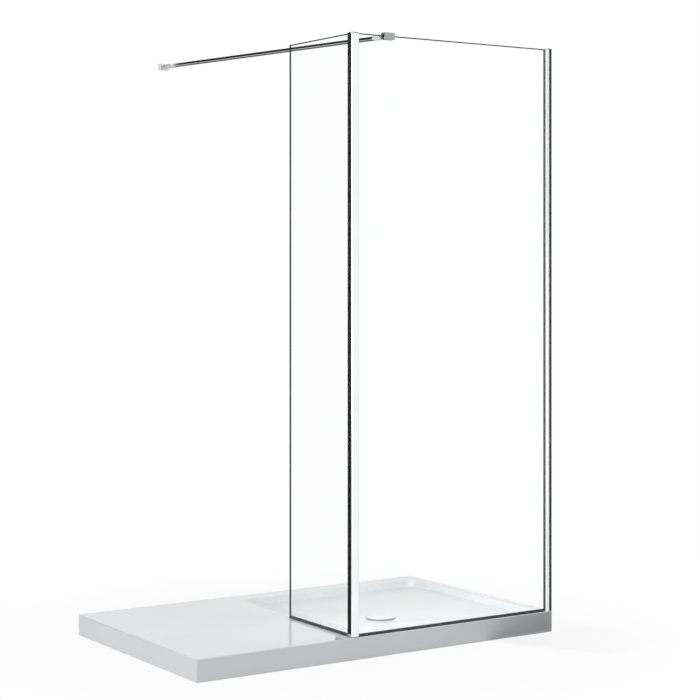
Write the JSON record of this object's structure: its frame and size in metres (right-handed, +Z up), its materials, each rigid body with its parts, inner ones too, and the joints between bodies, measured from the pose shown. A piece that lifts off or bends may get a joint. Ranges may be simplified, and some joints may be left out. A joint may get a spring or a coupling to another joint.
{
  "type": "walk-in shower screen",
  "caption": "L-shaped clear glass walk-in shower screen with a bright corner profile, wall profile and angled bracing bar, standing on a low white tray with a waste.",
  "frame": {"origin": "on the floor, under the middle of the tray", "axes": "+X along the front towards the wall profile, +Y from the front to the back, +Z up"},
  "size_m": [1.4, 1.2246, 2.032],
  "materials": {
    "tray_white": "gloss",
    "cast_filling": "matt",
    "bright_chrome": "polished",
    "black_rubber": "matt",
    "moulded_plastic": "satin",
    "bright_steel": "satin",
    "clear_glass": "polished",
    "polished_aluminium": "polished",
    "grey_plastic": "satin",
    "clear_seal": "satin"
  },
  "bodies": {
    "screen": {"tray_shell": "tray_white", "tray_core": "cast_filling", "waste_flange": "tray_white", "waste_upper_seal": "black_rubber", "waste_lower_washer": "black_rubber", "waste_cup": "moulded_plastic", "front_glass": "clear_glass", "return_glass": "clear_glass", "corner_post": "polished_aluminium", "post_top_cap": "grey_plastic", "post_foot": "grey_plastic", "post_front_gasket": "black_rubber", "post_return_gasket": "black_rubber", "wall_glazing_profile": "polished_aluminium", "wall_glazing_gasket": "black_rubber", "front_bottom_seal": "clear_seal", "return_bottom_seal": "clear_seal", "glass_clamp_body": "bright_chrome", "glass_clamp_pad": "black_rubber", "glass_clamp_screws": "bright_steel", "glass_clamp_swivel_pin": "bright_steel"},
    "wall_channel_set": {"wall_channel": "polished_aluminium", "wall_channel_cap": "grey_plastic", "wall_lock_screws": "bright_steel"},
    "brace": {"support_bar": "bright_chrome", "bar_socket_glass_end": "bright_chrome", "bar_socket_wall_end": "bright_chrome", "bar_socket_screws": "bright_steel"},
    "wall_bracket": {"wall_bracket_body": "bright_chrome", "wall_bracket_plate": "bright_steel", "wall_bracket_set_screw": "bright_steel", "wall_bracket_swivel_pin": "bright_steel"},
    "waste_insert": {"waste_cover": "tray_white", "waste_dip_tube": "moulded_plastic"}
  },
  "joints": [
    {"name": "wall_adjust", "type": "slide", "parent": "screen", "child": "wall_channel_set", "axis": [1, 0, 0], "range_m": [-0.003, 0.0045]},
    {"name": "brace_swivel", "type": "hinge", "parent": "screen", "child": "brace", "pos_m": [0.0165, -0.3941, 2.0205], "axis": [0, 0, 1], "range_deg": [-54.5, 8]},
    {"name": "bracket_swivel", "type": "hinge", "parent": "brace", "child": "wall_bracket", "pos_m": [-0.18198, 0.76706, 2.0205], "axis": [0, 0, 1], "range_deg": [-35, 54.5]},
    {"name": "waste_lift", "type": "slide", "parent": "screen", "child": "waste_insert", "axis": [0, 0, 1], "range_m": [0, 0.08]}
  ]
}
